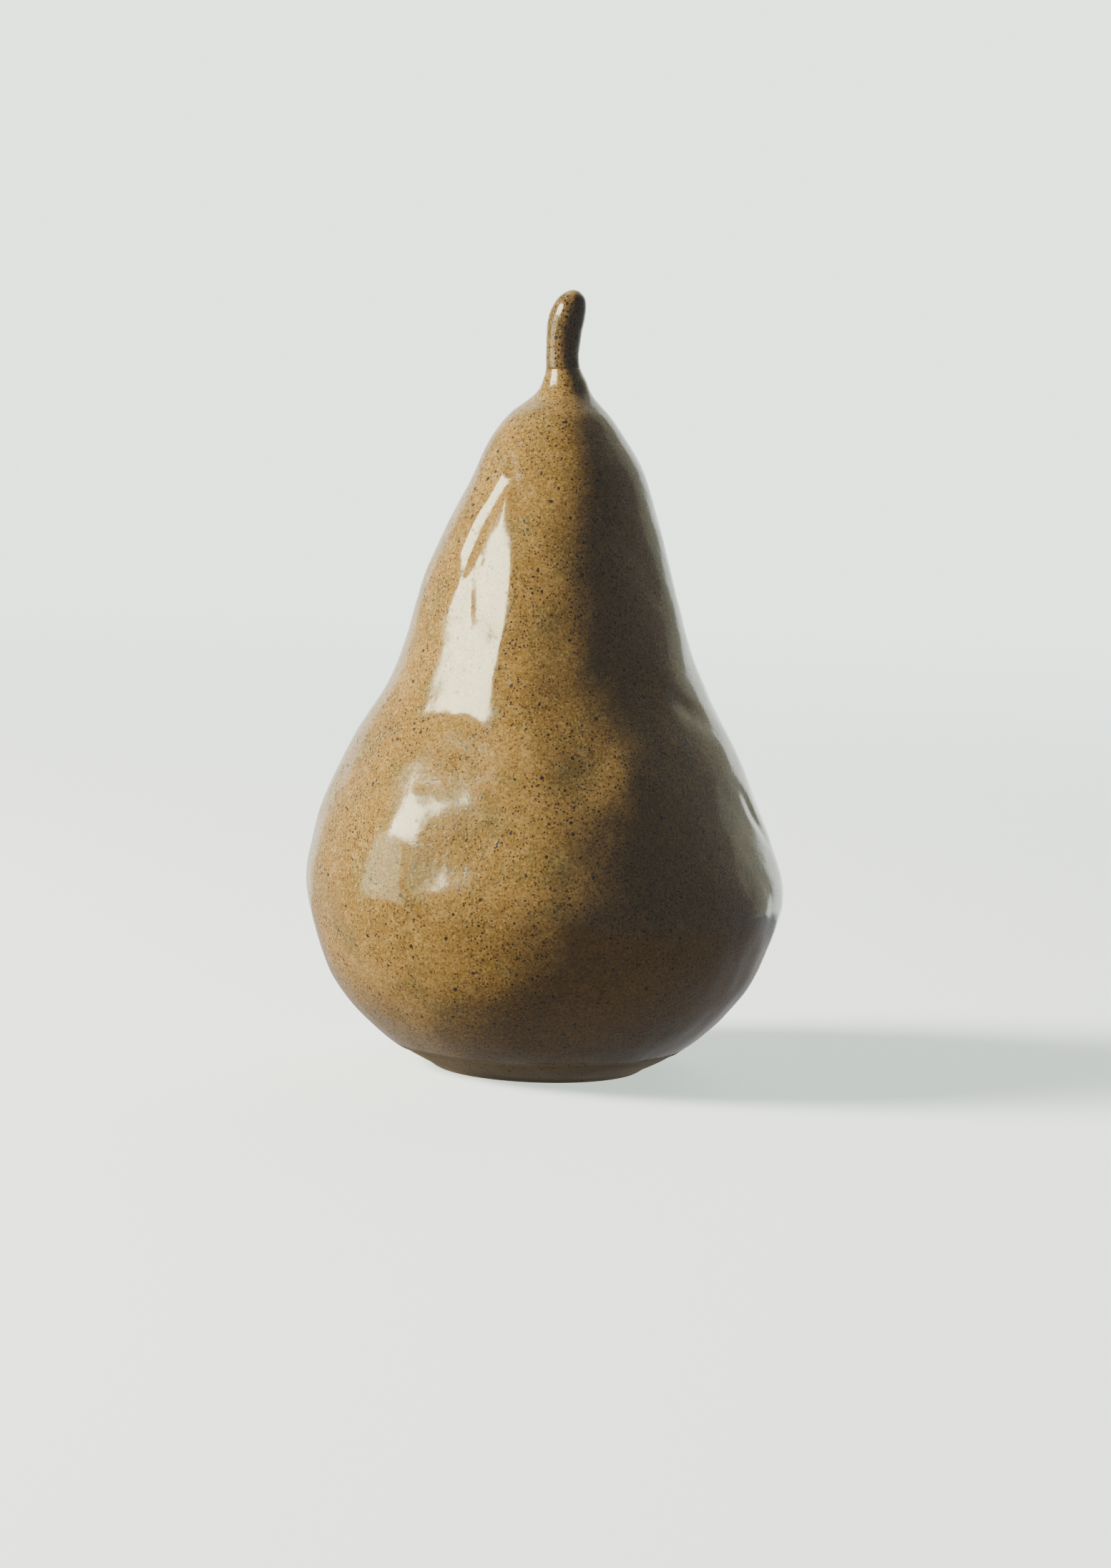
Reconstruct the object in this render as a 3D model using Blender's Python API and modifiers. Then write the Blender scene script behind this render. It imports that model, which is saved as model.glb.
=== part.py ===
"""A glazed stoneware pear: a hollow, hand-pressed body on a small flat foot, with a rolled stem.

Units are metres and +Z is up. The origin is the middle of the flat foot, and the pear's front faces -Y.
"""

import math

import bmesh
import bpy
import numpy as np

MM = 0.001

# Driving dimensions, in millimetres.
NECK_TOP = 124.0
STEM_TOP = 137.8
FOOT_RADIUS = 18.5
WALL = 6.5
JOIN_GAP = 0.3
VENT_RADIUS = 1.6
VENT_OFFSET = 9.0
CAVITY_TIP_RADIUS = 1.5

# Resolution: rings this far apart down an outline, and sides around it.
BODY_RING_STEP = 3.4
BODY_SIDES = 48
CAVITY_RING_STEP = 6.0
CAVITY_SIDES = 32
STEM_RING_STEP = 1.3
STEM_SIDES = 20
VENT_SIDES = 16

# Outer outlines as (radius, height), from the top down.
BODY_OUTLINE = (
    (3.0, NECK_TOP),
    (3.3, 122.0),
    (4.9, 119.6),
    (9.0, 115.8),
    (13.1, 109.6),
    (16.9, 101.2),
    (20.8, 91.0),
    (23.6, 82.5),
    (25.9, 74.2),
    (29.1, 66.4),
    (34.0, 58.0),
    (37.7, 50.0),
    (40.5, 42.0),
    (42.6, 32.5),
    (40.6, 23.5),
    (37.0, 15.5),
    (31.1, 8.3),
    (24.6, 3.1),
    (FOOT_RADIUS, 0.0),
)
STEM_OUTLINE = (
    (0.0, STEM_TOP),
    (1.65, STEM_TOP - 0.6),
    (2.75, STEM_TOP - 2.3),
    (3.25, STEM_TOP - 4.8),
    (3.0, STEM_TOP - 8.3),
    (2.7, STEM_TOP - 11.3),
    (2.8, NECK_TOP + JOIN_GAP),
)

# How far the hand-formed axis strays from the origin's: (height, towards +X, towards +Y).
AXIS_DRIFT = (
    (0.0, 0.0, 0.0),
    (20.0, 0.0, 0.2),
    (33.0, 0.2, 0.3),
    (47.0, -0.8, 0.5),
    (65.0, -0.4, 0.1),
    (85.0, -0.9, -0.4),
    (96.0, -0.5, -0.3),
    (106.0, 0.1, 0.0),
    (115.0, -0.1, 0.2),
    (120.5, 0.6, 0.4),
    (126.0, -0.1, 0.5),
    (132.0, 0.3, 0.3),
    (STEM_TOP, 1.5, -0.2),
)

# Places pressed in by a thumb: degrees from the front towards +X, height, half width, half height
# and depth.
THUMB_PRESSES = (
    (-37, 82, 8, 20, 0.7),
    (-30, 60, 13, 7, 0.6),
    (15, 64, 12, 8, 0.5),
    (-38, 35, 11, 8, 0.5),
    (66, 47, 12, 7, 0.6),
    (48, 92, 9, 13, 0.5),
    (12, 30, 15, 9, 0.4),
    (118, 74, 11, 16, 0.7),
    (152, 46, 14, 9, 0.6),
    (186, 92, 9, 17, 0.6),
    (214, 58, 13, 10, 0.7),
    (176, 24, 16, 9, 0.5),
    (252, 80, 9, 15, 0.4),
)


def remove_everything():
    for thing in list(bpy.data.objects):
        bpy.data.objects.remove(thing, do_unlink=True)


def new_collection(name):
    collection = bpy.data.collections.new(name)
    bpy.context.scene.collection.children.link(collection)
    return collection


def new_object(name, mesh, collection):
    thing = bpy.data.objects.new(name, mesh)
    collection.objects.link(thing)
    return thing


def smooth_through(knots, values, places):
    """Values at the given places along a cubic curve that passes through every knot."""
    knots = np.asarray(knots, float)
    values = np.asarray(values, float)
    slopes = np.gradient(values, knots, axis=0)
    start = np.clip(np.searchsorted(knots, places, side="right") - 1, 0, len(knots) - 2)
    span = (knots[start + 1] - knots[start])[:, None]
    t = (places - knots[start])[:, None] / span
    rise = t * t * (3 - 2 * t)
    leave = t * (1 - t) ** 2 * span
    arrive = t * t * (t - 1) * span
    line = (1 - rise) * values[start] + rise * values[start + 1]
    return line + leave * slopes[start] + arrive * slopes[start + 1]


def even_outline(stations, step):
    """Points about a step apart on a smooth curve through the stations."""
    stations = np.asarray(stations, float)
    lengths = np.linalg.norm(np.diff(stations, axis=0), axis=1)
    along = np.concatenate([[0.0], np.cumsum(lengths)])
    count = round(along[-1] / step)
    return smooth_through(along, stations, np.linspace(0.0, along[-1], count + 1))


def inset_outline(outline, thickness):
    """The outline moved inwards by a wall's thickness, where it still clears the axis."""
    along = np.gradient(outline, axis=0)
    along /= np.linalg.norm(along, axis=1)[:, None]
    inwards = np.column_stack([along[:, 1], -along[:, 0]])
    inner = outline + thickness * inwards
    clear = (inner[:, 0] > CAVITY_TIP_RADIUS) & (inner[:, 1] > thickness)
    return inner[clear]


def with_poles(outline):
    """The outline closed onto the axis at its top and bottom heights."""
    top = [0.0, outline[0][1]]
    bottom = [0.0, outline[-1][1]]
    return np.vstack([top, outline, bottom])


def turned_mesh(name, outline, sides):
    """A closed mesh turned about Z from an outline of (radius, height) that runs down its outer side."""
    bm = bmesh.new()
    corners = [bm.verts.new((radius * MM, 0.0, height * MM)) for radius, height in outline]
    for upper, lower in zip(corners, corners[1:]):
        bm.edges.new((upper, lower))
    profile = bpy.data.meshes.new(name)
    bm.to_mesh(profile)
    bm.free()
    blank = new_object(name, profile, bpy.context.scene.collection)
    screw = blank.modifiers.new("turn", "SCREW")
    screw.steps = sides
    screw.render_steps = sides
    screw.use_merge_vertices = True
    screw.merge_threshold = 0.00001
    graph = bpy.context.evaluated_depsgraph_get()
    mesh = bpy.data.meshes.new_from_object(blank.evaluated_get(graph))
    bpy.data.objects.remove(blank)
    bpy.data.meshes.remove(profile)
    return mesh


def pressed_depth(azimuth, height, radius):
    """How far the thumb presses move a point of the wall inwards, in millimetres."""
    depth = 0.0
    for degrees, middle, half_width, half_height, deepest in THUMB_PRESSES:
        turn = math.remainder(azimuth - math.radians(degrees), math.tau)
        across = radius * turn / half_width
        up = (height - middle) / half_height
        depth += deepest * math.exp(-across * across - up * up)
    return depth


def form_by_hand(mesh, is_pressed):
    """Presses the turned wall and lets its axis stray, moving points level with the ground only."""
    drift = np.asarray(AXIS_DRIFT, float)
    for vertex in mesh.vertices:
        x, y, height = (value / MM for value in vertex.co)
        radius = math.hypot(x, y)
        stray = smooth_through(drift[:, 0], drift[:, 1:], np.array([height]))[0]
        if is_pressed and radius > FOOT_RADIUS / 2:
            pressed = 1 - pressed_depth(math.atan2(x, -y), height, radius) / radius
            x *= pressed
            y *= pressed
        vertex.co.x = (x + stray[0]) * MM
        vertex.co.y = (y + stray[1]) * MM
    mesh.update()


def new_material(name, colour, roughness):
    material = bpy.data.materials.new(name)
    material.use_nodes = True
    shader = material.node_tree.nodes["Principled BSDF"]
    shader.inputs["Base Color"].default_value = (*colour, 1.0)
    shader.inputs["Roughness"].default_value = roughness
    shader.inputs["Metallic"].default_value = 0.0
    return material


def shade_round(mesh):
    mesh.shade_smooth()
    mesh.set_sharp_from_angle(angle=math.radians(40))


def make_cutter(name, mesh, target, cutters):
    cutter = new_object(name, mesh, cutters)
    cutter.hide_render = True
    cutter.display_type = "WIRE"
    cut = target.modifiers.new(name, "BOOLEAN")
    cut.operation = "DIFFERENCE"
    cut.solver = "EXACT"
    cut.object = cutter
    return cutter


def vent_mesh(depth):
    """A round pin that opens the hollow through the foot."""
    bm = bmesh.new()
    bmesh.ops.create_cone(
        bm,
        cap_ends=True,
        segments=VENT_SIDES,
        radius1=VENT_RADIUS * MM,
        radius2=VENT_RADIUS * MM,
        depth=depth * MM,
    )
    mesh = bpy.data.meshes.new("vent")
    bm.to_mesh(mesh)
    bm.free()
    return mesh


def make_body(parts, cutters):
    outline = even_outline(BODY_OUTLINE, BODY_RING_STEP)
    mesh = turned_mesh("pear_body", with_poles(outline), BODY_SIDES)
    form_by_hand(mesh, is_pressed=True)
    shade_round(mesh)
    mesh.materials.append(new_material("speckled_glaze", (0.36, 0.20, 0.07), 0.18))
    body = new_object("pear_body", mesh, parts)

    inner = inset_outline(even_outline(BODY_OUTLINE, CAVITY_RING_STEP), WALL)
    cavity = turned_mesh("cavity", with_poles(inner), CAVITY_SIDES)
    form_by_hand(cavity, is_pressed=False)
    make_cutter("cavity", cavity, body, cutters)

    vent = make_cutter("vent", vent_mesh(4 * WALL), body, cutters)
    vent.location.y = VENT_OFFSET * MM


def make_stem(parts):
    outline = even_outline(STEM_OUTLINE, STEM_RING_STEP)
    foot = [0.0, outline[-1][1]]
    mesh = turned_mesh("stem", np.vstack([outline, foot]), STEM_SIDES)
    form_by_hand(mesh, is_pressed=False)
    shade_round(mesh)
    mesh.materials.append(new_material("stem_glaze", (0.20, 0.11, 0.045), 0.25))
    new_object("stem", mesh, parts)


def main():
    remove_everything()
    parts = new_collection("ceramic_pear")
    cutters = new_collection("cutters")
    make_body(parts, cutters)
    make_stem(parts)


main()
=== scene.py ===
"""The looks of the glazed stoneware pear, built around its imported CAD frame.

The skins' grids and the tables of shapes are in millimetres, and the studio is in metres.
"""

import math

import bpy
import numpy as np
from mathutils import Matrix, Vector, noise


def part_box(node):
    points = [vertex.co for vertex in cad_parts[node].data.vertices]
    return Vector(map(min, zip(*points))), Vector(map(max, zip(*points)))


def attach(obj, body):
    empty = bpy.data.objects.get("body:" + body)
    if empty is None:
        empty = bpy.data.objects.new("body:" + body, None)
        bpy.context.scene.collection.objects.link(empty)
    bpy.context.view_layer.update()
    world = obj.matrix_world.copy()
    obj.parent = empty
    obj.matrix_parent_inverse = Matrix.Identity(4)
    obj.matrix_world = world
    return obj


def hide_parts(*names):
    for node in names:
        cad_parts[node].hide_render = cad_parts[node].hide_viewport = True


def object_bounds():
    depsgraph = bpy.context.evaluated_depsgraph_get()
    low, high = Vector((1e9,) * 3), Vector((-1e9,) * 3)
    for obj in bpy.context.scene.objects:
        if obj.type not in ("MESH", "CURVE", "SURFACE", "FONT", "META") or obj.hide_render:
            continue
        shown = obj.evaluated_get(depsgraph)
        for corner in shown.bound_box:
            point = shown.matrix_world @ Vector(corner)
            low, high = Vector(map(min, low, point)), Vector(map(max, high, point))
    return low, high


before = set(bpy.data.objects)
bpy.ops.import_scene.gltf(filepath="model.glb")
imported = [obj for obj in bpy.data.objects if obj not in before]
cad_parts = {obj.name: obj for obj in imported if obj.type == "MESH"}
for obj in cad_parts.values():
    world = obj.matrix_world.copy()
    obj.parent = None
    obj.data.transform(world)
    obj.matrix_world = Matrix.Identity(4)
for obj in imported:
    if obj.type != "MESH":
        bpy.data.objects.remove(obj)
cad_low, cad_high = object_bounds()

MM = 0.001

# How the CAD meshes are laid out: corners in each ring of the outer wall, of the hollow and of the stem.
WALL_SIDES = 48
HOLLOW_SIDES = 32
STEM_SIDES = 20

# A ring is at least this round (its least radius over its largest) and at least this large.
LEAST_ROUNDNESS = 0.85
LEAST_RADIUS = 0.5

# The vent in the foot, its rounded lip as (how much wider, height) from the foot's face inwards, and the
# height from which its shaft has evenly spaced rings.
VENT_CENTRE = (0.0, 9.0)
VENT_RADIUS = 1.6
VENT_LIP = ((0.3, 0.0), (0.1, 0.06), (0.0, 0.3))
VENT_SHAFT_START = 2.0

# Grid of the finished skins: columns around, and the rows' spacing down the outside.
# The rows are closer together over a stretch below the neck's rim and over one above the foot.
BODY_COLUMNS = 288
BODY_STEP = 0.62
FINE_STEP = 0.22
FINE_AT_NECK = 2.5
FINE_AT_FOOT = 2.0
HOLLOW_STEP = 5.0
STEM_COLUMNS = 120
STEM_STEP = 0.16

# Smooth random undulation of each skin: (wavelength, height) of each size. Each size samples the noise one
# shift further on.
BODY_WAVES = ((19.0, 0.30), (9.0, 0.20), (4.5, 0.085), (1.8, 0.02))
STEM_WAVES = ((5.0, 0.14), (1.7, 0.05))
WAVE_SHIFT = (13.7, 5.1, 29.3)

# The body's relief fades out over these heights, as (none, full), towards the foot and towards the rim.
RELIEF_FROM_FOOT = (0.3, 4.0)
RELIEF_FROM_RIM = (124.0, 121.0)

# The rim rounds over upwards by this much, and inwards by this much.
RIM_RISE = 0.22
RIM_ROUND = 0.3

# The thickening of the neck round the stem's root.
COLLAR_HEIGHT = 121.5
COLLAR_REACH = 1.8
COLLAR_DEPTH = 0.35

# The line above the foot where the glaze was wiped off, and the step there, which fades out at the foot's
# edge over the last two heights.
FOOT_LINE = 4.0
FOOT_LINE_SWAY = 0.5
FOOT_LINE_SOFTNESS = 0.15
GLAZE_DEPTH = 0.22
FOOT_EDGE = (0.0, 0.8)

# The stem thickens towards its root over these heights, and its root is sunk into the neck.
STEM_FLARE = 0.2
STEM_FLARE_HEIGHTS = (133.0, 124.5)
STEM_SUNK = 0.9
STEM_CROWN_POWER = 2.2

# Flats that were paddled or pressed into the clay: degrees from the front towards +X and height of the
# middle, the way it faces (degrees, elevation), how far it is sunk, how soft its border is, its strength,
# and its outline as (degrees, height) corners.
FLATS = (
    (-35, 80, (-34, 16), 0.05, 2.0, 0.42,
     ((-31, 102), (-19, 93), (-17, 80), (-24, 64), (-46, 63), (-53, 72), (-52, 82), (-38, 95))),
    (-43, 99, (-33, 19), 0.05, 1.1, 0.85,
     ((-41, 107), (-33, 105), (-40, 96), (-45, 88), (-54, 92), (-50, 99))),
)

# A flat reaches no further than this many degrees round from its middle and this far up or down.
FLAT_TURN = 70
FLAT_RISE = 60

# Soft dents, and bumps with a negative depth: degrees, height, half width, half height, lean in degrees
# and depth.
DENTS = (
    (-38, 35, 11, 8, 0, -0.5),
    (-42, 42, 5, 7, 20, -0.3),
    (-25, 40, 6.5, 15, 0, 0.65),
    (-15, 40, 10, 17, 0, 0.85),
    (-37, 45.5, 5, 6, 25, -0.3),
    (-22, 59, 5, 5, 0, 0.35),
    (-25.5, 44, 5.5, 6, 0, -0.24),
    (-36, 101, 1.3, 8, 20, -0.12),
    (-34, 110, 3, 3, 0, 0.14),
    (-38, 82.5, 1.0, 4.2, -15, 0.20),
    (-32.5, 71, 1.0, 4.2, -16, 0.20),
    (-26.5, 74, 0.9, 3.0, 0, 0.10),
    (-28, 92.5, 0.55, 0.55, 0, 0.12),
    (-37, 90.5, 0.5, 0.5, 0, 0.10),
    (12, 56, 6, 6, -25, 0.7),
    (24, 53, 7, 7, 20, -0.6),
    (-6, 54, 8, 6, 30, 0.25),
    (2, 47, 8, 5, 25, -0.35),
    (3, 66, 7, 6, -10, 0.3),
    (5, 88, 7, 14, 8, 0.3),
    (-10, 104, 5, 9, 0, 0.2),
    (55, 66.5, 4, 2.0, 20, 0.45),
    (52, 72, 5, 5, 0, -0.35),
    (48, 88, 5, 9, 8, 0.3),
    (76, 47.5, 5, 1.4, 50, 0.45),
    (72, 52, 6, 4, 40, -0.3),
    (38, 36, 12, 9, 0, 0.5),
    (30, 26, 10, 6, 20, -0.3),
    (-8, 26, 12, 7, 15, 0.35),
    (-28, 20, 12, 6, -10, -0.3),
    (6, 14, 13, 5, 0, 0.3),
    (-62, 26, 10, 9, 0, 0.4),
    (-70, 54, 9, 9, -20, 0.4),
    (102, 58, 11, 10, 15, 0.7),
    (122, 38, 12, 9, -20, 0.5),
    (110, 88, 6, 13, 5, 0.5),
    (140, 70, 9, 9, 20, -0.5),
    (158, 52, 11, 8, 0, 0.7),
    (172, 82, 7, 15, -8, 0.6),
    (186, 34, 14, 9, 12, 0.6),
    (200, 60, 10, 8, -15, -0.5),
    (216, 74, 8, 11, 0, 0.5),
    (236, 48, 12, 10, 25, 0.6),
    (252, 92, 6, 12, 0, 0.4),
    (262, 30, 12, 8, -15, 0.5),
    (150, 20, 13, 7, 0, 0.4),
    (224, 18, 12, 6, 10, 0.4),
)


# ---------------------------------------------------------------- shape


def unique_points(node):
    """The corners of a CAD node's mesh in millimetres, each once."""
    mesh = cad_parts[node].data
    flat = np.empty(len(mesh.vertices) * 3, np.float32)
    mesh.vertices.foreach_get("co", flat)
    return np.unique(np.round(flat.reshape(-1, 3) / MM, 3), axis=0)


def levels(points, gap=0.02):
    """The points in groups that share a height."""
    order = points[np.argsort(points[:, 2])]
    breaks = np.nonzero(np.diff(order[:, 2]) > gap)[0] + 1
    return np.split(order, breaks)


def outermost_ring(group, sides):
    """The group's outermost ring in order around, or None if it has no such ring."""
    if len(group) < sides:
        return None
    for _ in range(2):
        centre = group[:, :2].mean(axis=0)
        reach = np.linalg.norm(group[:, :2] - centre, axis=1)
        group = group[np.argsort(-reach)][:sides]
    centre = group[:, :2].mean(axis=0)
    offset = group[:, :2] - centre
    reach = np.linalg.norm(offset, axis=1)
    if reach.min() < LEAST_ROUNDNESS * reach.max() or reach.max() < LEAST_RADIUS:
        return None
    turn = np.arctan2(offset[:, 1], offset[:, 0]) / math.tau * sides
    slots = np.round(turn).astype(int) % sides
    if len(set(slots)) != sides:
        return None
    ring = np.empty_like(group)
    ring[slots] = group
    return ring


def rings(node, sides, skip_sides=None):
    """The node's rings with that many corners, from the top down, past any ring with skip_sides corners."""
    found = []
    for group in levels(unique_points(node)):
        if skip_sides and outermost_ring(group, skip_sides) is not None:
            outer = outermost_ring(group, skip_sides)
            taken = {tuple(corner) for corner in outer}
            group = np.array([p for p in group if tuple(p) not in taken]).reshape(-1, 3)
        ring = outermost_ring(group, sides)
        if ring is not None:
            found.append(ring)
    return np.array(found[::-1])


def finer_around(ring_set, columns):
    """The rings with more corners, on the same smooth closed curves."""
    sides = ring_set.shape[1]
    spectrum = np.fft.rfft(ring_set, axis=1)
    wide = np.zeros((len(ring_set), columns // 2 + 1, 3), complex)
    wide[:, : spectrum.shape[1]] = spectrum
    return np.fft.irfft(wide, columns, axis=1) * (columns / sides)


def spline(knots, values, places):
    """Values at the places, along the natural cubic spline through the knots."""
    count = len(knots)
    shape = values.shape[1:]
    values = values.reshape(count, -1)
    step = np.diff(knots)
    slope = np.diff(values, axis=0) / step[:, None]
    matrix = np.eye(count)
    target = np.zeros_like(values)
    for i in range(1, count - 1):
        matrix[i, i - 1 : i + 2] = step[i - 1], 2 * (step[i - 1] + step[i]), step[i]
        target[i] = 6 * (slope[i] - slope[i - 1])
    bend = np.linalg.solve(matrix, target)
    start = np.clip(np.searchsorted(knots, places, side="right") - 1, 0, count - 2)
    span = step[start][:, None]
    t = (places - knots[start])[:, None] / span
    curve = ((1 - t) ** 3 - (1 - t)) * bend[start] + (t**3 - t) * bend[start + 1]
    line = (1 - t) * values[start] + t * values[start + 1]
    return (line + curve * span**2 / 6).reshape(len(places), *shape)


def arc_lengths(ring_set):
    """How far down the mean outline each ring lies."""
    middle = ring_set.mean(axis=1)
    radius = np.linalg.norm(ring_set[..., :2] - middle[:, None, :2], axis=2).mean(axis=1)
    outline = np.column_stack([radius, middle[:, 2]])
    return np.concatenate([[0.0], np.cumsum(np.linalg.norm(np.diff(outline, axis=0), axis=1))])


def graded(total, step, fine_step, fine_start, fine_end):
    """Places from 0 to the total, closer together over a stretch at each end."""
    places = [0.0]
    while places[-1] < total:
        here = places[-1]
        nearest = min(here / fine_start, (total - here) / fine_end)
        blend = min(max(nearest - 1, 0), 1)
        places.append(here + fine_step + (step - fine_step) * blend)
    places = np.array(places)
    return places * (total / places[-1])


def grid_normals(grid):
    """Outward normals of a grid that closes around its columns."""
    around = np.roll(grid, -1, axis=1) - np.roll(grid, 1, axis=1)
    down = np.gradient(grid, axis=0)
    normal = np.cross(down, around)
    normal /= np.linalg.norm(normal, axis=2)[..., None] + 1e-12
    return normal


def facing(azimuth, elevation):
    """The unit vector that looks that many degrees from the front towards +X, and that far up."""
    a, e = math.radians(azimuth), math.radians(elevation)
    return np.array([math.sin(a) * math.cos(e), -math.cos(a) * math.cos(e), math.sin(e)])


def degrees_round(grid):
    return np.degrees(np.arctan2(grid[..., 0], -grid[..., 1]))


def turn_between(azimuth, middle):
    return (azimuth - middle + 180) % 360 - 180


def smooth_step(low, high, value):
    t = np.clip((value - low) / (high - low), 0, 1)
    return t * t * (3 - 2 * t)


def distance_inside(x, y, corners):
    """Signed distance of the points into a polygon, positive inside."""
    nearest = np.full(x.shape, 1e9)
    inside = np.zeros(x.shape, bool)
    for (ax, ay), (bx, by) in zip(corners, corners[1:] + corners[:1]):
        ex, ey = bx - ax, by - ay
        t = np.clip(((x - ax) * ex + (y - ay) * ey) / (ex * ex + ey * ey), 0, 1)
        nearest = np.minimum(nearest, np.hypot(x - ax - t * ex, y - ay - t * ey))
        if ey != 0:
            crosses = (ay > y) != (by > y)
            inside ^= crosses & (x < ax + (y - ay) * ex / ey)
    return np.where(inside, nearest, -nearest)


def press_flat(grid, flat):
    """Moves the grid onto a flat's plane inside its outline, with a soft border."""
    azimuth, height, face, sunk, soft, strength, outline = flat
    turn = turn_between(degrees_round(grid), azimuth)
    radius = np.hypot(grid[..., 0], grid[..., 1])
    across = np.radians(turn) * radius
    near = (np.abs(turn) < FLAT_TURN) & (np.abs(grid[..., 2] - height) < FLAT_RISE)
    index = np.argmin(np.where(near, np.hypot(across, grid[..., 2] - height), 1e9))
    anchor = grid.reshape(-1, 3)[index]
    normal = facing(*face)
    corners = []
    for corner_azimuth, corner_height in outline:
        row = np.argmin(np.abs(grid[:, :, 2].mean(axis=1) - corner_height))
        corner_radius = radius[row].mean()
        corners.append((math.radians(corner_azimuth - azimuth) * corner_radius, corner_height))
    reach = distance_inside(across, grid[..., 2], corners)
    weight = strength * smooth_step(-soft, soft, reach) * near
    off = (grid - anchor) @ normal + sunk
    return grid - (weight * off)[..., None] * normal


def dented(grid, dents):
    """How deep the dents are at each point of the grid."""
    azimuth = degrees_round(grid)
    radius = np.hypot(grid[..., 0], grid[..., 1])
    depth = np.zeros(azimuth.shape)
    for middle, height, half_width, half_height, lean, deepest in dents:
        x = np.radians(turn_between(azimuth, middle)) * radius
        y = grid[..., 2] - height
        c, s = math.cos(math.radians(lean)), math.sin(math.radians(lean))
        across, along = c * x - s * y, s * x + c * y
        depth += deepest * np.exp(-((across / half_width) ** 2) - (along / half_height) ** 2)
    return depth


def waviness(grid, sizes):
    """The undulation at each point of the grid, from the (wavelength, height) of each size."""
    points = grid.reshape(-1, 3)
    total = np.zeros(len(points))
    for number, (wavelength, height) in enumerate(sizes):
        shift = Vector(WAVE_SHIFT) * (number + 1)
        total += height * np.array([noise.noise(Vector(p) / wavelength + shift) for p in points])
    return total.reshape(grid.shape[:2])


def body_outside():
    """The pear's outer wall as a grid, from the neck's rim down to the foot's edge."""
    ring_set = finer_around(rings("pear_body", WALL_SIDES), BODY_COLUMNS)
    knots = arc_lengths(ring_set)
    places = graded(knots[-1], BODY_STEP, FINE_STEP, FINE_AT_NECK, FINE_AT_FOOT)
    grid = spline(knots, ring_set, places)
    for flat in FLATS:
        grid = press_flat(grid, flat)
    height = grid[..., 2]
    ends = smooth_step(*RELIEF_FROM_FOOT, height) * smooth_step(*RELIEF_FROM_RIM, height)
    relief = waviness(grid, BODY_WAVES) - dented(grid, DENTS)
    collar = COLLAR_DEPTH * np.exp(-(((height - COLLAR_HEIGHT) / COLLAR_REACH) ** 2))
    line = FOOT_LINE + FOOT_LINE_SWAY * np.sin(np.radians(degrees_round(grid)) * 2 + 1)
    below_line = smooth_step(FOOT_LINE_SOFTNESS, -FOOT_LINE_SOFTNESS, height - line)
    wiped = GLAZE_DEPTH * below_line * smooth_step(*FOOT_EDGE, height)
    return grid + (relief * ends + collar - wiped)[..., None] * grid_normals(grid)


def rounded_rim(last, towards, rise, drop_in, steps):
    """Rows that round over from a ring towards a centre: in by drop_in while moving by rise along Z."""
    inwards = (towards - last) * np.array([1.0, 1.0, 0.0])
    inwards /= np.linalg.norm(inwards, axis=1)[:, None]
    rows = []
    for i in range(1, steps + 1):
        a = math.pi / 2 * i / steps
        lift = np.array([0, 0, rise * math.sin(a)])
        rows.append(last + inwards * drop_in * (1 - math.cos(a)) + lift)
    return rows


def shrunk(ring, centre, share):
    """The ring drawn in to that share of its size about a centre, at its own height."""
    centre = np.array([*centre, ring[:, 2].mean()])
    return centre + (ring - centre) * share


def vent_ring(radius, height):
    turn = np.arange(BODY_COLUMNS) / BODY_COLUMNS * math.tau
    x = VENT_CENTRE[0] + radius * np.cos(turn)
    y = VENT_CENTRE[1] + radius * np.sin(turn)
    return np.column_stack([x, y, np.full(BODY_COLUMNS, height)])


def closed_mesh(name, rows):
    """A mesh of the rows' rings joined in order, with a corner that closes each end."""
    columns = len(rows[0])
    count = len(rows)
    points = np.concatenate(rows)
    first = points[:columns].mean(axis=0)
    last = points[-columns:].mean(axis=0)
    points = np.vstack([points, first, last]) * MM
    i, j = np.meshgrid(np.arange(count - 1), np.arange(columns), indexing="ij")
    k = (j + 1) % columns
    upper, lower = i * columns, (i + 1) * columns
    quads = np.stack([upper + j, lower + j, lower + k, upper + k], axis=-1)
    faces = quads.reshape(-1, 4).tolist()
    top, bottom = count * columns, count * columns + 1
    base = (count - 1) * columns
    faces += [(top, j, (j + 1) % columns) for j in range(columns)]
    faces += [(bottom, base + (j + 1) % columns, base + j) for j in range(columns)]
    mesh = bpy.data.meshes.new(name)
    mesh.from_pydata(points.tolist(), [], faces)
    mesh.shade_smooth()
    mesh.validate()
    thing = bpy.data.objects.new(name, mesh)
    bpy.context.scene.collection.objects.link(thing)
    return thing


def body_inside(start):
    """Rings up the vent's shaft from a starting height, out over the hollow's floor and up to its top."""
    hollow = finer_around(rings("pear_body", HOLLOW_SIDES, WALL_SIDES)[::-1], BODY_COLUMNS)
    knots = arc_lengths(hollow)
    inside = spline(knots, hollow, np.linspace(0, knots[-1], round(knots[-1] / HOLLOW_STEP)))
    floor = hollow[0][:, 2].mean()
    shaft = [vent_ring(VENT_RADIUS, height) for height in np.linspace(start, floor, 4)]
    spread = [shaft[-1] * (1 - share) + inside[0] * share for share in (0.3, 0.65)]
    tip = shrunk(inside[-1], inside[-1].mean(axis=0)[:2], 0.4)
    return shaft + spread + list(inside) + [tip]


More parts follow.
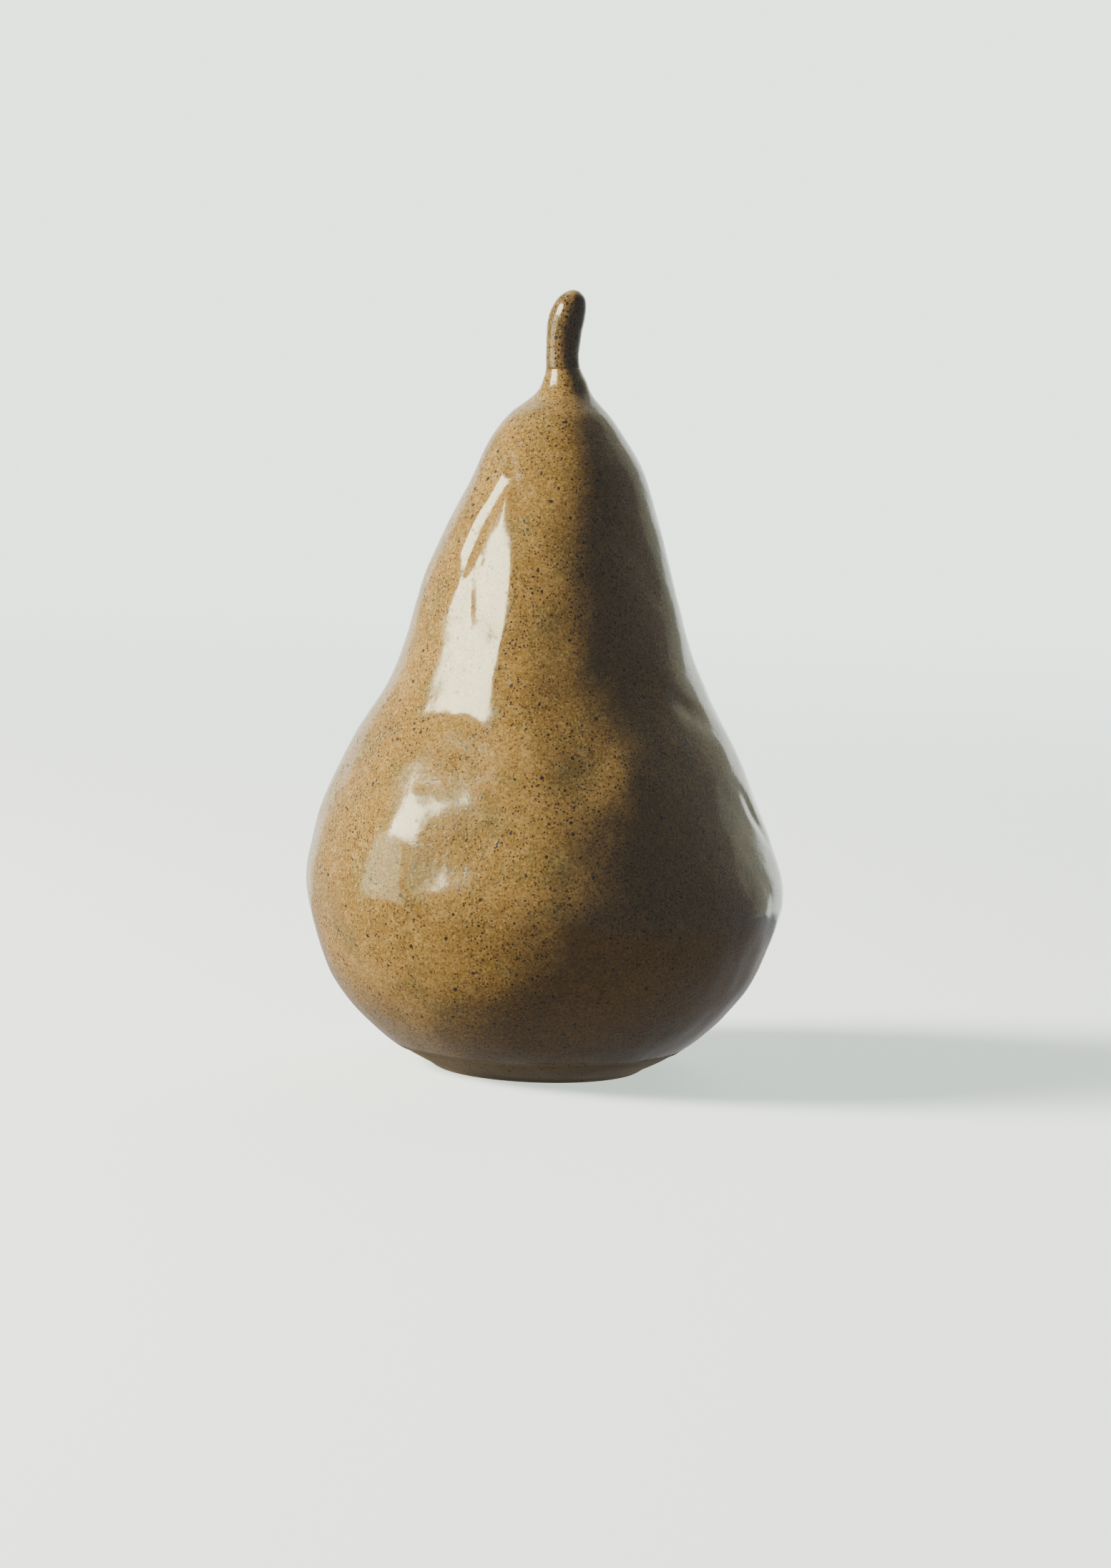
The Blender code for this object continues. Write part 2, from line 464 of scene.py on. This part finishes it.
def make_body():
    outside = list(body_outside())
    middle = outside[0].mean(axis=0)
    neck = rounded_rim(outside[0], middle, RIM_RISE, RIM_ROUND, 4)
    top = [shrunk(neck[-1], middle[:2], share) for share in (0.1, 0.4, 0.7, 0.9)]
    lip = [vent_ring(VENT_RADIUS + wider, height) for wider, height in VENT_LIP]
    shares = (0.02, 0.06, 0.15, 0.3, 0.5, 0.7, 0.85, 0.94)
    under = [outside[-1] * (1 - share) + lip[0] * share for share in shares]
    rows = top + neck[::-1] + outside + under + lip + body_inside(VENT_SHAFT_START)
    return closed_mesh("pear_skin", rows)


def make_stem():
    ring_set = rings("stem", STEM_SIDES)
    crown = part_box("stem")[1].z / MM
    tip = np.array([*ring_set[0].mean(axis=0)[:2], crown])
    fine = finer_around(ring_set, STEM_COLUMNS)
    knots = arc_lengths(fine)
    grid = spline(knots, fine, np.linspace(0.0, knots[-1], math.ceil(knots[-1] / STEM_STEP) + 1))
    flare = STEM_FLARE * smooth_step(*STEM_FLARE_HEIGHTS, grid[..., 2])
    relief = waviness(grid, STEM_WAVES) + flare
    grid = grid + relief[..., None] * grid_normals(grid)
    first = grid[0]
    cap = []
    for share in (0.12, 0.3, 0.5, 0.7, 0.86):
        ring = tip + (first - tip) * share
        ring[:, 2] = crown - (crown - first[:, 2].mean()) * share**STEM_CROWN_POWER
        cap.append(ring)
    root = grid[-1] - np.array([0, 0, STEM_SUNK])
    core = shrunk(root, root.mean(axis=0)[:2], 0.4)
    return closed_mesh("stem_skin", cap + list(grid) + [root, core])


# ---------------------------------------------------------------- glaze


class Graph:
    """Adds nodes to a material's tree and links them."""

    def __init__(self, name):
        self.material = bpy.data.materials.new(name)
        self.material.use_nodes = True
        self.tree = self.material.node_tree
        self.tree.nodes.clear()

    def node(self, kind, inputs=None, **settings):
        made = self.tree.nodes.new("ShaderNode" + kind)
        for key, value in settings.items():
            setattr(made, key, value)
        for key, value in (inputs or {}).items():
            self.feed(made.inputs[key], value)
        return made

    def feed(self, socket, value):
        if isinstance(value, bpy.types.NodeSocket):
            self.tree.links.new(value, socket)
        else:
            socket.default_value = value

    def math(self, operation, a, b=0.0, c=0.0, clamp=False):
        return self.node("Math", {0: a, 1: b, 2: c}, operation=operation, use_clamp=clamp).outputs[0]

    def ramp(self, value, low, high, to_low=0.0, to_high=1.0):
        """The value mapped smoothly from low..high onto to_low..to_high."""
        inputs = {"Value": value, "From Min": low, "From Max": high, "To Min": to_low, "To Max": to_high}
        return self.node("MapRange", inputs, interpolation_type="SMOOTHSTEP").outputs[0]

    def blend(self, share, a, b, kind="MIX"):
        made = self.node("Mix", data_type="RGBA", blend_type=kind)
        self.feed(made.inputs["Factor"], share)
        self.feed(made.inputs[6], a)
        self.feed(made.inputs[7], b)
        return made.outputs[2]

    def noise(self, place, size, detail=2.0, roughness=0.5):
        """Soft noise with features about the size in millimetres."""
        inputs = {"Vector": place, "Scale": 1 / (size * MM), "Detail": detail, "Roughness": roughness}
        return self.node("TexNoise", inputs).outputs[0]

    def moved(self, place, by):
        """The place moved, so that textures of the same kind don't line up."""
        return self.node("VectorMath", {0: place, 1: by}, operation="ADD").outputs[0]

    def specks(self, place, cell, smallest, largest, share):
        """Round grains in a share of the cells, sizes in millimetres: 1 inside a grain and 0 outside."""
        inputs = {"Vector": place, "Scale": 1 / (cell * MM), "Randomness": 1.0}
        cells = self.node("TexVoronoi", inputs, voronoi_dimensions="3D", feature="F1")
        lots = self.node("SeparateColor", {0: cells.outputs["Color"]}).outputs
        size = self.ramp(lots[0], 0.0, 1.0, smallest / cell, largest / cell)
        depth = self.math("SUBTRACT", size, cells.outputs["Distance"])
        inside = self.ramp(depth, -0.25 * smallest / cell, 0.25 * smallest / cell)
        chosen = self.math("LESS_THAN", lots[1], share)
        return self.math("MULTIPLY", inside, chosen)


def glaze_clouds(g, place, tone):
    """The glaze's ground colour, from broad clouds down to sandy grain, and two of the noises in it."""
    cloud = g.noise(place, 26.0, 3.0, 0.55)
    patch = g.noise(g.moved(place, (0.3, 0.1, 0.7)), 7.0, 3.0, 0.6)
    mottle = g.noise(g.moved(place, (0.6, 0.2, 0.4)), 2.4, 3.0, 0.65)
    grain = g.noise(place, 0.6, 2.0, 0.6)
    sand = g.noise(g.moved(place, (0.9, 0.4, 0.2)), 0.36, 1.0, 0.5)
    colour = g.blend(g.ramp(cloud, 0.38, 0.62), tone["deep"], tone["light"])
    layers = (
        (patch, 0.48, 0.66, 0.75, "olive"),
        (mottle, 0.5, 0.66, 0.7, "ochre"),
        (mottle, 0.46, 0.32, 0.4, "pale"),
        (grain, 0.53, 0.72, 0.65, "pale"),
        (grain, 0.47, 0.3, 0.6, "brown"),
        (sand, 0.54, 0.76, 0.7, "pale"),
        (sand, 0.46, 0.28, 0.65, "brown"),
    )
    for noise_value, begins, full, share, shade in layers:
        colour = g.blend(g.ramp(noise_value, begins, full, 0.0, share), colour, tone[shade])
    return colour, patch, grain


def glaze_specks(g, place, tone, colour):
    """The colour with pale flecks, brown dust and iron grains on it, and where the iron is."""
    wobble = g.node("TexNoise", {"Vector": place, "Scale": 1 / (1.3 * MM), "Detail": 1.0}).outputs["Color"]
    pushed = g.node("VectorMath", {0: wobble, 1: (0.5, 0.5, 0.5)}, operation="SUBTRACT").outputs[0]
    pushed = g.node("VectorMath", {0: pushed, "Scale": 0.28 * MM}, operation="SCALE").outputs[0]
    ragged = g.moved(place, pushed)
    coarse = tone["coarse"]
    gather = g.ramp(g.noise(g.moved(place, (0.5, 0.8, 0.1)), 11.0), 0.35, 0.65, 0.6, 1.3)
    dust = g.specks(ragged, 0.55 * coarse, 0.09, 0.19 * coarse, tone["dust"])
    iron = g.specks(g.moved(ragged, (0.2, 0.6, 0.4)), 0.85 * coarse, 0.11, 0.24 * coarse, tone["iron"])
    lumps = g.specks(g.moved(ragged, (0.7, 0.2, 0.9)), 1.9 * coarse, 0.18, 0.36 * coarse, tone["lumps"])
    flecks = g.specks(g.moved(ragged, (0.3, 0.4, 0.8)), 0.6 * coarse, 0.08, 0.17 * coarse, 0.6)
    colour = g.blend(g.math("MULTIPLY", flecks, 0.6), colour, tone["pale"])
    colour = g.blend(g.math("MULTIPLY", dust, gather, clamp=True), colour, tone["dust_brown"])
    dark = g.math("MAXIMUM", g.math("MULTIPLY", iron, gather, clamp=True), lumps)
    colour = g.blend(g.math("MULTIPLY", dark, 0.92), colour, tone["iron_black"])
    return colour, dark


def bare_foot(g, place, heights, tone, colour, patch, dark):
    """Colour and roughness with bare clay below the foot line."""
    edge = g.math("MULTIPLY_ADD", g.noise(place, 9.0), 1.6 * MM, FOOT_LINE * MM)
    bare = g.ramp(g.math("SUBTRACT", edge, heights), -0.12 * MM, 0.12 * MM)
    clay = g.blend(g.ramp(patch, 0.3, 0.7), tone["clay"], tone["clay_dark"])
    clay = g.blend(g.math("MULTIPLY", dark, 0.6), clay, tone["iron_black"])
    return g.blend(bare, colour, clay), g.ramp(bare, 0.0, 1.0, 0.11, 0.5)


def worn_tip(g, heights, tone, colour):
    """Colour and roughness with the glaze worn pale at the stem's tip."""
    worn = g.ramp(heights, tone["worn_from"] * MM, tone["worn_to"] * MM)
    colour = g.blend(g.math("MULTIPLY", worn, 0.8), colour, tone["pale"])
    return colour, g.ramp(worn, 0.0, 1.0, 0.10, 0.4)


def glaze_relief(g, place, grain, dark, pits):
    """The normal of the glaze's skin: orange peel, grain, raised iron and pinhole pits."""
    peel = g.noise(g.moved(place, (0.1, 0.3, 0.6)), 1.5, 1.0)
    relief = g.math("MULTIPLY", peel, 0.020)
    for height, depth in ((grain, 0.008), (dark, 0.006), (pits, -0.05)):
        relief = g.math("MULTIPLY_ADD", height, depth, relief)
    return g.node("Bump", {"Height": relief, "Strength": 1.0, "Distance": MM}).outputs[0]


def make_glaze(name, tone):
    """Iron-speckled glaze. The tone holds its colours, how thick the specks lie and how coarse they are."""
    g = Graph(name)
    place = g.node("TexCoord").outputs["Object"]
    colour, patch, grain = glaze_clouds(g, place, tone)
    colour, dark = glaze_specks(g, place, tone, colour)
    heights = g.node("SeparateXYZ", {0: place}).outputs["Z"]
    if "clay" in tone:
        colour, rough = bare_foot(g, place, heights, tone, colour, patch, dark)
    else:
        colour, rough = worn_tip(g, heights, tone, colour)
    rough = g.math("ADD", rough, g.math("MULTIPLY", dark, 0.12))
    rough = g.math("ADD", rough, g.ramp(patch, 0.3, 0.7, 0.0, 0.05))
    pits = g.specks(g.moved(place, (0.4, 0.9, 0.5)), 5.0, 0.12, 0.24, 0.2)
    normal = glaze_relief(g, place, grain, dark, pits)
    colour = g.blend(pits, colour, tone["brown"])
    shader = g.node("BsdfPrincipled", {"Base Color": colour, "Roughness": rough, "Normal": normal})
    shader.inputs["IOR"].default_value = 1.5
    out = g.node("OutputMaterial", {"Surface": shader.outputs[0]})
    g.tree.nodes.active = out
    return g.material


BODY_TONE = {
    "light": (0.56, 0.325, 0.080, 1),
    "deep": (0.44, 0.245, 0.045, 1),
    "olive": (0.31, 0.225, 0.060, 1),
    "ochre": (0.43, 0.235, 0.032, 1),
    "pale": (0.80, 0.54, 0.185, 1),
    "brown": (0.18, 0.092, 0.020, 1),
    "dust_brown": (0.105, 0.050, 0.014, 1),
    "iron_black": (0.022, 0.012, 0.009, 1),
    "clay": (0.50, 0.36, 0.14, 1),
    "clay_dark": (0.38, 0.27, 0.10, 1),
    "coarse": 1.0,
    "dust": 0.85,
    "iron": 0.65,
    "lumps": 0.5,
}
STEM_TONE = {
    "light": (0.40, 0.235, 0.070, 1),
    "deep": (0.28, 0.16, 0.04, 1),
    "olive": (0.22, 0.145, 0.04, 1),
    "ochre": (0.29, 0.16, 0.025, 1),
    "pale": (0.60, 0.42, 0.17, 1),
    "brown": (0.10, 0.05, 0.015, 1),
    "dust_brown": (0.05, 0.025, 0.010, 1),
    "iron_black": (0.018, 0.011, 0.009, 1),
    "coarse": 1.15,
    "dust": 0.9,
    "iron": 0.8,
    "lumps": 0.7,
    "worn_from": 136.6,
    "worn_to": 137.8,
}


# ---------------------------------------------------------------- studio

# Lamps and panels are placed about this point, in metres.
STUDIO_CENTRE = Vector((0, 0, 0.06))

# Lamps: degrees from the front towards +X, elevation, distance, size, power and colour. The first lights
# only the floor.
FLOOR_KEY = (-76.0, 30.0, 1.6, (0.5, 0.5), 60.0, (1.0, 0.99, 0.97))
LAMPS = {
    "key": (-81.0, 24.0, 1.5, (0.42, 0.6), 45.0, (1.0, 0.95, 0.78)),
    "fill": (155.0, 35.0, 1.5, (1.2, 1.2), 12.0, (0.86, 0.94, 1.0)),
}

# Panels that show only in the glaze: their span in degrees, in elevation, distance and glow.
PANELS = {
    "window": ((-84, -48), (15.5, 38), 1.5, (40, 40, 27)),
    "sill": ((-97, -58), (-5, 15.0), 1.5, (5.5, 6.2, 4.4)),
    "backdrop_right": ((140, 180), (-13, 60), 1.2, (2.4, 2.6, 2.4)),
    "backdrop_side": ((116, 140), (-13, 60), 1.2, (0.8, 0.9, 0.8)),
    "backdrop_left": ((180, 218), (-13, 60), 1.2, (1.5, 1.65, 1.5)),
}

# What the camera sees past the object, what the glaze mirrors of the room, and the room's own light.
PALE = (2.45, 2.85, 2.5)
MIRRORED_ROOM = (0.48, 0.56, 0.61)
ROOM_LIGHT = (0.045, 0.042, 0.042)

# The floor as the camera sees it, as the glaze mirrors it near the foot, and as it throws light back.
FLOOR_PALE = (0.80, 0.82, 0.80, 1)
FLOOR_LIFT = 0.33
FLOOR_HAZE = (0.47, 0.46, 0.45, 1)
FLOOR_STONE = (0.04, 0.035, 0.029, 1)

# The floor's half side, how far it lies under the foot, and the distances from the middle over which it
# fades into the backdrop and over which its mirror image gives way to the room. In metres.
FLOOR_HALF = 6.0
FLOOR_DROP = 0.1 * MM
FLOOR_FADE = (0.25, 1.3)
MIRROR_FADE = (0.09, 0.16)

# The camera: elevation and roll in degrees, distance and sideways aim in metres, the height of its aim as a
# share of the pear's, and its lens and sensor in millimetres.
CAMERA_ELEVATION = 6.0
CAMERA_ROLL = 2.15
CAMERA_DISTANCE = 0.7
AIM_SIDE = 0.0015
AIM_SHARE = 0.3668
CAMERA_LENS = 90.4
CAMERA_SENSOR = 36.0


def glow(name, colour):
    """An emitting material."""
    g = Graph(name)
    shader = g.node("Emission", {"Color": (*colour, 1), "Strength": 1.0})
    g.node("OutputMaterial", {"Surface": shader.outputs[0]})
    return g.material


def make_panel(name, azimuths, elevations, distance, colour):
    """An upright panel that fills those angles seen from the studio's centre. Only the glaze shows it."""
    low, high = (math.radians(azimuth) for azimuth in azimuths)
    middle = (low + high) / 2
    corners = []
    for azimuth, end in ((low, 0), (high, 0), (high, 1), (low, 1)):
        reach = distance / math.cos(azimuth - middle)
        height = distance * math.tan(math.radians(elevations[end]))
        corner = Vector((math.sin(azimuth) * reach, -math.cos(azimuth) * reach, height))
        corners.append(STUDIO_CENTRE + corner)
    mesh = bpy.data.meshes.new(name)
    mesh.from_pydata(corners, [], [(0, 1, 2, 3)])
    mesh.materials.append(glow(name, colour))
    thing = bpy.data.objects.new(name, mesh)
    bpy.context.scene.collection.objects.link(thing)
    thing.visible_camera = False
    thing.visible_diffuse = False
    thing.visible_shadow = False
    thing.visible_transmission = False


def make_lamp(name, azimuth, elevation, distance, size, power, colour):
    """A soft lamp aimed at the studio's centre. The glaze doesn't mirror it."""
    light = bpy.data.lights.new(name, "AREA")
    light.shape = "RECTANGLE"
    light.size, light.size_y = size
    light.energy = power
    light.color = colour
    thing = bpy.data.objects.new(name, light)
    bpy.context.scene.collection.objects.link(thing)
    direction = Vector(facing(azimuth, elevation))
    thing.location = STUDIO_CENTRE + direction * distance
    thing.rotation_euler = direction.to_track_quat("Z", "Y").to_euler()
    thing.visible_glossy = False
    thing.visible_camera = False
    return thing


def floor_material():
    """Pale to the camera, and as dim as rough stone in what it throws back on the glaze."""
    g = Graph("floor")
    place = g.node("TexCoord").outputs["Object"]
    path = g.node("LightPath").outputs
    far = g.node("VectorMath", {0: place}, operation="LENGTH").outputs["Value"]
    diffuse = g.node("BsdfDiffuse", {"Color": FLOOR_PALE})
    lift = g.node("Emission", {"Color": (*PALE, 1), "Strength": FLOOR_LIFT})
    lit = g.node("AddShader", {0: diffuse.outputs[0], 1: lift.outputs[0]})
    fade = g.node("Emission", {"Color": (*PALE, 1), "Strength": 1.0})
    seen = g.node("MixShader", {0: g.ramp(far, *FLOOR_FADE), 1: lit.outputs[0], 2: fade.outputs[0]})
    stone = g.node("BsdfDiffuse", {"Color": FLOOR_STONE})
    haze = g.node("Emission", {"Color": FLOOR_HAZE, "Strength": 1.0})
    near = g.node("AddShader", {0: stone.outputs[0], 1: haze.outputs[0]})
    beyond = g.node("BsdfTransparent", {"Color": (1, 1, 1, 1)})
    mirrored = g.node("MixShader", {0: g.ramp(far, *MIRROR_FADE), 1: near.outputs[0], 2: beyond.outputs[0]})
    bounce = g.node("MixShader", {0: path["Is Glossy Ray"], 1: stone.outputs[0], 2: mirrored.outputs[0]})
    out = g.node("MixShader", {0: path["Is Camera Ray"], 1: bounce.outputs[0], 2: seen.outputs[0]})
    g.node("OutputMaterial", {"Surface": out.outputs[0]})
    return g.material


def make_floor():
    """A pale floor, with a lamp of its own that throws the object's soft shadow on it."""
    mesh = bpy.data.meshes.new("floor")
    half = FLOOR_HALF
    corners = [(-half, -half, 0), (half, -half, 0), (half, half, 0), (-half, half, 0)]
    mesh.from_pydata(corners, [], [(0, 1, 2, 3)])
    mesh.materials.append(floor_material())
    thing = bpy.data.objects.new("floor", mesh)
    thing.location.z = -FLOOR_DROP
    bpy.context.scene.collection.objects.link(thing)
    only_floor = bpy.data.collections.new("floor_only")
    only_floor.objects.link(thing)
    lamp = make_lamp("floor_key", *FLOOR_KEY)
    lamp.light_linking.receiver_collection = only_floor


def make_world():
    """Pale where the camera looks past everything, and a dim room for the light and the mirrored rays."""
    world = bpy.data.worlds.new("studio")
    world.use_nodes = True
    tree = world.node_tree
    tree.nodes.clear()
    path = tree.nodes.new("ShaderNodeLightPath")
    shades = []
    for colour in (ROOM_LIGHT, MIRRORED_ROOM, PALE):
        shade = tree.nodes.new("ShaderNodeBackground")
        shade.inputs["Color"].default_value = (*colour, 1)
        shades.append(shade.outputs[0])
    out = shades[0]
    for ray, shade in zip(("Is Glossy Ray", "Is Camera Ray"), shades[1:]):
        mix = tree.nodes.new("ShaderNodeMixShader")
        tree.links.new(path.outputs[ray], mix.inputs[0])
        tree.links.new(out, mix.inputs[1])
        tree.links.new(shade, mix.inputs[2])
        out = mix.outputs[0]
    output = tree.nodes.new("ShaderNodeOutputWorld")
    tree.links.new(out, output.inputs["Surface"])
    bpy.context.scene.world = world


def make_camera():
    """A long lens from a little above, rolled so that the pear leans as it does on its stone."""
    target = Vector((AIM_SIDE, 0, AIM_SHARE * cad_high.z))
    elevation, roll = math.radians(CAMERA_ELEVATION), math.radians(CAMERA_ROLL)
    back = Vector((0, -math.cos(elevation), math.sin(elevation)))
    camera = bpy.data.objects.new("camera", bpy.data.cameras.new("camera"))
    bpy.context.scene.collection.objects.link(camera)
    camera.data.sensor_width = CAMERA_SENSOR
    camera.data.lens = CAMERA_LENS
    camera.data.clip_start, camera.data.clip_end = 0.01, 100.0
    turn = back.to_track_quat("Z", "Y").to_matrix().to_4x4() @ Matrix.Rotation(roll, 4, "Z")
    camera.matrix_world = Matrix.Translation(target + back * CAMERA_DISTANCE) @ turn
    bpy.context.scene.camera = camera


# ---------------------------------------------------------------- assembly

body = make_body()
body.data.materials.append(make_glaze("speckled_glaze_skin", BODY_TONE))
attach(body, "root")
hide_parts("pear_body")

stem = make_stem()
stem.data.materials.append(make_glaze("stem_glaze_skin", STEM_TONE))
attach(stem, "root")
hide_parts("stem")

make_floor()
make_world()
for name, setting in LAMPS.items():
    make_lamp(name, *setting)
for name, setting in PANELS.items():
    make_panel(name, *setting)
make_camera()
